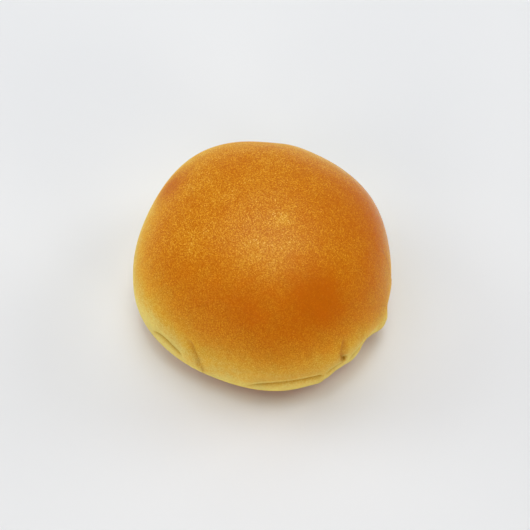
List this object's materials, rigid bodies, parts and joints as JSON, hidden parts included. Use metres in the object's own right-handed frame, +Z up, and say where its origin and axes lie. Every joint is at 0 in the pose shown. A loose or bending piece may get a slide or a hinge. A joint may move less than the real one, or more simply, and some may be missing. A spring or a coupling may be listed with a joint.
{
  "type": "brioche bun",
  "caption": "Round domed brioche bun with a golden-brown crust, paler creased sides tucked in near the base, and a flat underside to rest on.",
  "frame": {"origin": "middle of the bun's box, on the flat base it rests on", "axes": "+Z up through the crown, -Y toward the side that the picture shows nearest, +X to the right in the picture"},
  "size_m": [0.1, 0.0994, 0.055],
  "materials": {
    "crust": "baked crust with a satin egg-wash sheen, golden brown on the crown and pale yellow where it is tucked in"
  },
  "bodies": {
    "root": {"bun": "crust"}
  },
  "joints": []
}
